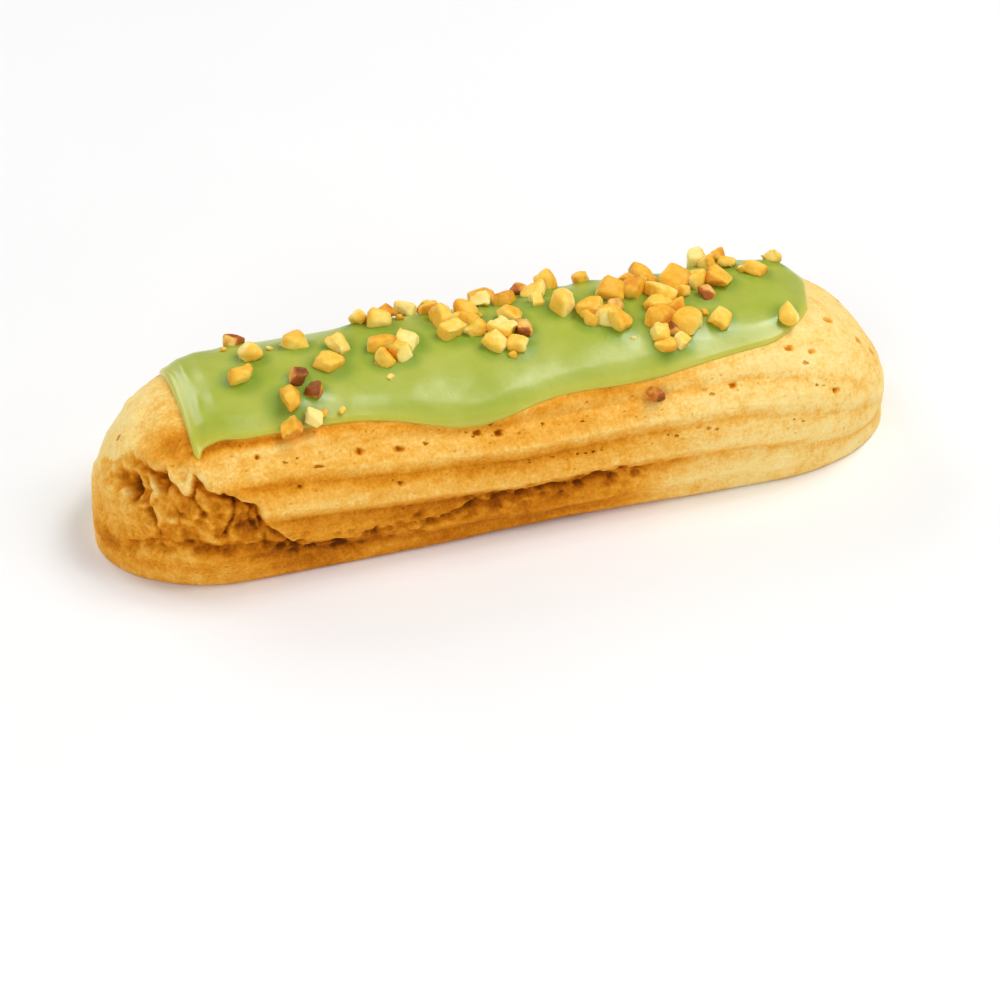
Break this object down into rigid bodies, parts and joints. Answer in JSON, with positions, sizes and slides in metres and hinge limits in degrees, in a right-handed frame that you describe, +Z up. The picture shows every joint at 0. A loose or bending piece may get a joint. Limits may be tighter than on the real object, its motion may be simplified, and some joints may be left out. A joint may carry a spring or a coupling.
{
  "type": "eclair",
  "caption": "Long baked choux bar with piped flutes and one torn end, a coat of pale green icing along its top and chopped roasted nuts set in the icing.",
  "frame": {"origin": "middle of the base, on the surface that the bar lies on", "axes": "+X along the bar from its torn end to its smooth end, +Z up, -Y towards the side that shows"},
  "size_m": [0.1397, 0.0394, 0.0328],
  "materials": {
    "choux": "matte golden baked crust, paler on the ridges and browner in the grooves",
    "icing": "soft satin pale green icing",
    "nuts": "matte roasted chopped nuts, golden with a few brown pieces"
  },
  "bodies": {
    "root": {"choux": "choux", "icing": "icing"}
  },
  "joints": []
}
